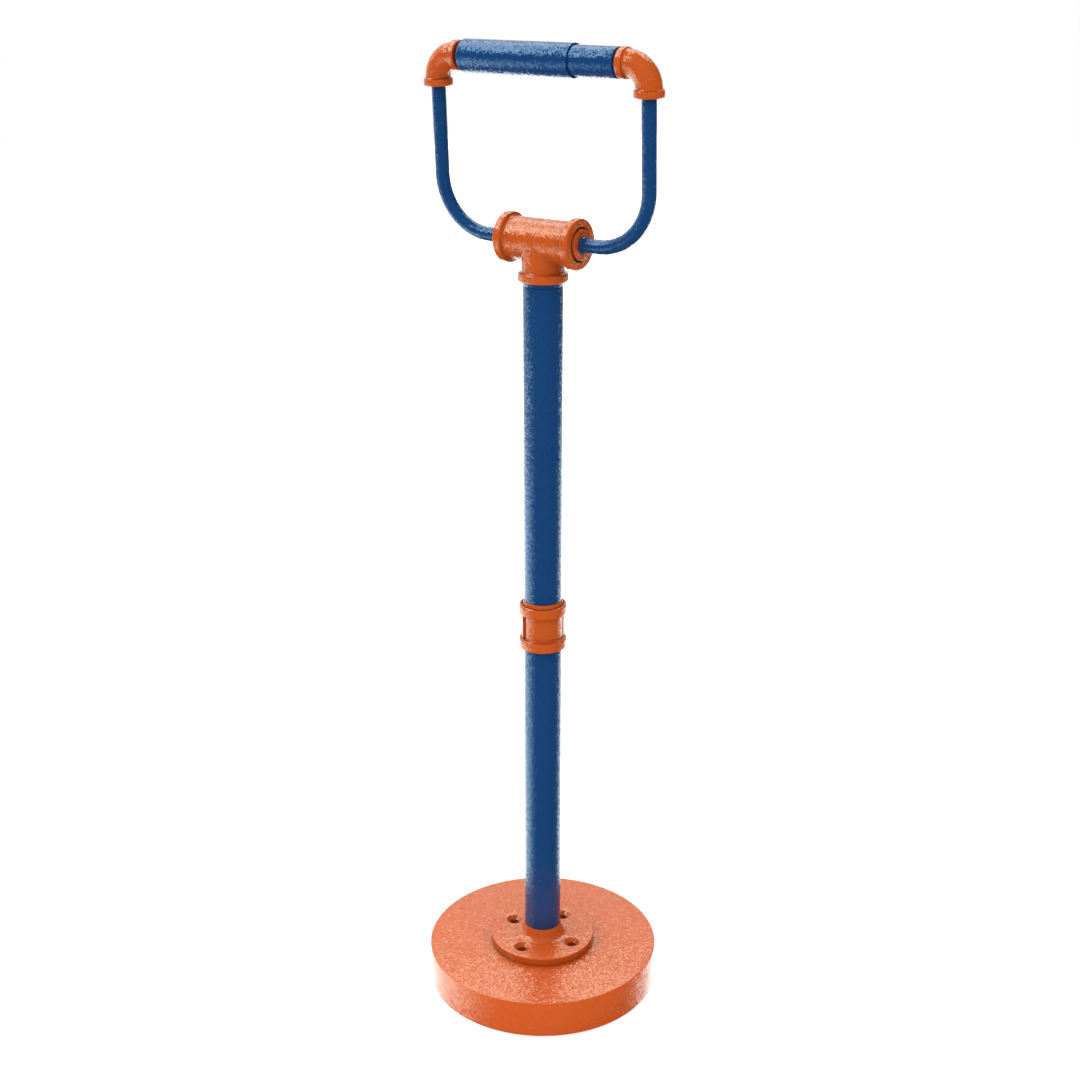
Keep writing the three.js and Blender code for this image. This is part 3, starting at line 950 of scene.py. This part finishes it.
def make_collar(side):
    low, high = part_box("arm_collar_right")
    reach = (high.z - low.z) / 2
    collar = turned(
        f"collar_{side}",
        [
            (ARM_R + SNUG, low.x),
            (reach, low.x),
            (reach, (low.x + high.x) / 2, GAP),
            (ARM_R + GAP, high.x, GAP),
            (ARM_R + SNUG, high.x),
        ],
        ROD_SIDES,
        Matrix.Translation(tee_centre) @ SIDES[side] @ ALONG_X,
    )
    stand_in(collar, f"arm_collar_{side}")


def make_elbow(side):
    """A quarter bend with a band at each end and a straight seat in each end."""
    line = QuarterBend(
        Vector((arm_x, 0, roller_rise - ELBOW_REACH)),
        Vector((0, 0, 1)),
        Vector((-1, 0, 0)),
        ELBOW_BAND,
        ELBOW_REACH - ELBOW_BAND,
        ELBOW_BAND,
    )
    place = YOKE @ SIDES[side]
    foot = place @ line.frame(0)
    face = place @ line.frame(line.length)
    profile = outline(
        [
            (ELBOW_BAND_R - BAND_EDGE, 0),
            (ELBOW_BAND_R, 0, ELBOW_BAND_EDGE),
            (ELBOW_BAND_R, ELBOW_BAND, ELBOW_BAND_EDGE),
            (ELBOW_R, ELBOW_BAND, BAND_ROOT),
            (ELBOW_R, line.length / 2),
        ]
    )
    band = profile[1:-1]
    bend = line.bends[ELBOW_ENDS:-ELBOW_ENDS]
    outside = [(place @ line.frame(point.y), point.x) for point in band]
    outside += [(place @ line.frame(along), ELBOW_R) for along in bend]
    outside += [(place @ line.frame(line.length - point.y), point.x) for point in reversed(band)]
    arm_seat_r = ARM_R + GAP
    bush_seat_r = BUSH_R + GAP
    rings = [
        (foot @ Matrix.Translation((0, 0, ARM_SEAT + GAP)), 0),
        (foot @ Matrix.Translation((0, 0, ARM_SEAT + GAP)), arm_seat_r),
        (foot, arm_seat_r),
        *outside,
        (face, bush_seat_r),
        (face @ Matrix.Translation((0, 0, -BUSH_SEAT)), bush_seat_r),
        (face @ Matrix.Translation((0, 0, -BUSH_SEAT)), 0),
    ]
    stand_in(skin(f"bend_{side}", rings, FITTING_SIDES), f"elbow_{side}")


def make_bush(side):
    low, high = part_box("pin_bush_right")
    bush = turned(
        f"bush_{side}",
        [
            (BUSH_BORE_R, low.x, GAP),
            (BUSH_R, low.x, GAP),
            (BUSH_R, high.x),
            (BUSH_BORE_R, high.x),
        ],
        ROD_SIDES,
        ROLLER @ SIDES[side] @ ALONG_X,
    )
    stand_in(bush, f"pin_bush_{side}")


# ---------------------------------------------------------------- roller


def make_roller():
    """The wider tube with its lip, and the narrower tube with the flare that keeps it in."""
    low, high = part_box("roller_outer_tube")
    outer_r = (high.z - low.z) / 2
    bore = outer_r - OUTER_WALL
    outer = turned(
        "roller_wide_tube",
        [
            (PIN_R + GAP, low.x),
            (outer_r, low.x, END_EDGE),
            (outer_r, high.x, LIP_EDGE),
            (LIP_R, high.x, LIP_EDGE),
            (LIP_R, high.x - LIP_LONG),
            (bore, high.x - LIP_LONG),
            (bore, low.x + END_THICK, END_EDGE - OUTER_WALL),
            (PIN_R + GAP, low.x + END_THICK),
        ],
        TUBE_SIDES,
        ROLLER @ ALONG_X,
    )
    stand_in(outer, "roller_outer_tube")
    low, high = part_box("roller_inner_tube")
    flare_r = high.z - roller_axis.z
    bore = INNER_TUBE_R - INNER_WALL
    inner = turned(
        "roller_narrow_tube",
        [
            (bore, low.x),
            (flare_r, low.x),
            (flare_r, low.x + LIP_LONG),
            (INNER_TUBE_R, low.x + LIP_LONG),
            (INNER_TUBE_R, high.x, END_EDGE / 2),
            (PIN_R + GAP, high.x),
            (PIN_R + GAP, high.x - END_THICK),
            (bore, high.x - END_THICK),
        ],
        TUBE_SIDES,
        ROLLER @ ALONG_X,
    )
    stand_in(inner, "roller_inner_tube")


def make_pin(side):
    """A headed pin, drawn as the right one. The box of the left one is turned round for that."""
    low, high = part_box(f"roller_pin_{side}")
    tip = high.x if side == "right" else -low.x
    head = low.x if side == "right" else -high.x
    pin = turned(
        f"pin_{side}",
        [
            (0, head),
            (PIN_HEAD_R, head),
            (PIN_HEAD_R, head + PIN_HEAD_THICK, GAP),
            (PIN_R, head + PIN_HEAD_THICK),
            (PIN_R, tip, PIN_R / 4),
            (0, tip),
        ],
        ROD_SIDES,
        ROLLER @ SIDES[side] @ ALONG_X,
    )
    stand_in(pin, f"roller_pin_{side}")


def make_spring():
    """A coil of round wire, drawn at rest. In the roller it shortens, towards its left end, as the roller is
    pressed in.
    """
    low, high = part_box("roller_spring")
    steps = SPRING_TURNS * SPRING_STEPS
    first = low.x + SPRING_WIRE_R
    last = high.x - SPRING_WIRE_R
    rise = (last - first) / (2 * math.pi * SPRING_TURNS)
    rings = []
    for step in range(steps + 1):
        turn = 2 * math.pi * step / SPRING_STEPS
        outward = Vector((0, math.cos(turn), math.sin(turn)))
        ahead = Vector((rise / SPRING_R, -math.sin(turn), math.cos(turn))).normalized()
        across = ahead.cross(outward)
        turned_to = Matrix((outward, across, ahead)).transposed().to_4x4()
        centre = roller_axis + outward * SPRING_R
        centre.x = first + rise * turn
        rings.append((Matrix.Translation(centre) @ turned_to, SPRING_WIRE_R))
    rings.insert(0, (rings[0][0], 0))
    rings.append((rings[-1][0], 0))
    coil = stand_in(skin("coil_spring", rings, SPRING_WIRE_SIDES), "roller_spring")
    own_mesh(coil)


# Inner pieces that are shown as the CAD made them
KEPT_NODES = [
    "base_weight",
    "base_bolt",
    "base_lock_washer",
    "base_washer",
    "lower_pole_foot_insert",
    "lower_pole_top_adaptor",
    "arm_washer_left",
    "arm_washer_right",
    "arm_nut_left",
    "arm_nut_right",
    "roller_spring_seat",
]

# ---------------------------------------------------------------- studio


def make_world():
    """What shiny finishes reflect: a bright floor to the sides and behind, a softer wall behind, a
    bright ceiling, a small lamp at the left and a dim room around the camera. The camera itself
    sees plain white, and diffuse colour isn't lit by any of it."""
    world = bpy.data.worlds.new("studio")
    world.use_nodes = True
    bpy.context.scene.world = world
    world.cycles_visibility.diffuse = False
    made = Nodes(world.node_tree)
    place = made.add("ShaderNodeTexCoord").outputs["Generated"]
    height = made.add("ShaderNodeSeparateXYZ", {0: place}).outputs["Z"]

    def towards(turn, rise):
        """The direction turned left from straight behind the object, and raised."""
        heading = CAMERA_HEADING + math.radians(90 + turn)
        rise = math.radians(rise)
        flat = math.cos(rise)
        return (math.cos(heading) * flat, math.sin(heading) * flat, math.sin(rise))

    level_place = made.vector("NORMALIZE", made.vector("MULTIPLY", place, (1, 1, 0)))
    aside = made.vector("DOT_PRODUCT", level_place, towards(BANDS_TURN, 0))

    def band(level, ends, bottom, top):
        along = made.spread(aside, *ends, 0, level, "SMOOTHSTEP")
        over = made.spread(height, *bottom, 0, 1, "SMOOTHSTEP")
        under = made.spread(height, *top, 0, 1, "SMOOTHSTEP")
        return made.math("MULTIPLY", along, made.math("MULTIPLY", over, under))

    near_lamp = made.vector("DOT_PRODUCT", place, towards(LAMP_TURN, LAMP_RISE))
    lamp = made.spread(near_lamp, *LAMP_EDGE, 0, LAMP_LEVEL, "SMOOTHSTEP")
    total = made.math("ADD", lamp, DIM_LEVEL)
    for row in BANDS.values():
        total = made.math("ADD", total, band(*row))
    seen = made.add("ShaderNodeLightPath").outputs["Is Camera Ray"]
    level = made.add("ShaderNodeMix", {0: seen, 2: total, 3: BACKDROP_LEVEL}).outputs[0]
    background = made.tree.nodes["Background"]
    background.inputs["Color"].default_value = rgb(1, 1, 1)
    made.tree.links.new(level, background.inputs["Strength"])


def make_sun(name, heading, height, strength, spread):
    """A soft light for diffuse colour only."""
    data = bpy.data.lights.new(name, "SUN")
    data.energy = strength
    data.angle = math.radians(spread)
    light = bpy.data.objects.new(name, data)
    turn = CAMERA_HEADING - math.radians(heading)
    light.rotation_euler = (math.radians(90 - height), 0, turn)
    light.visible_glossy = False
    bpy.context.scene.collection.objects.link(light)


def make_floor():
    """A plain pale floor that runs out into white."""
    made = Finish("studio_floor")
    distance = made.vector("LENGTH", made.place)
    away = made.spread(distance, FLOOR_NEAR, FLOOR_FAR, FLOOR_GLOW, 1)
    seen = made.add("ShaderNodeLightPath").outputs["Is Camera Ray"]
    made.set(
        base_color=rgb(0.86, 0.86, 0.86),
        roughness=0.9,
        specular_ior_level=0.0,
        emission_color=rgb(1, 1, 1),
        emission_strength=made.math("MULTIPLY", away, seen),
    )
    floor = skin(
        "studio_floor",
        [(Matrix.Identity(4), 0), (Matrix.Identity(4), FLOOR_R)],
        ROD_SIDES,
    )
    floor.data.materials.append(made.material)
    floor.visible_glossy = False
    floor.visible_shadow = False


# ---------------------------------------------------------------- the scene

make_camera()
make_base()
make_flange()
make_poles()
make_coupling()
make_tee()
for side in SIDES:
    make_plug(side)
    make_arm(side)
    make_collar(side)
    make_elbow(side)
    make_bush(side)
    make_pin(side)
make_roller()
make_spring()
for node in KEPT_NODES:
    finish_node(node)
make_world()
for name, light in SUNS.items():
    make_sun(name, *light)
make_floor()
bpy.context.scene.view_settings.view_transform = "Standard"
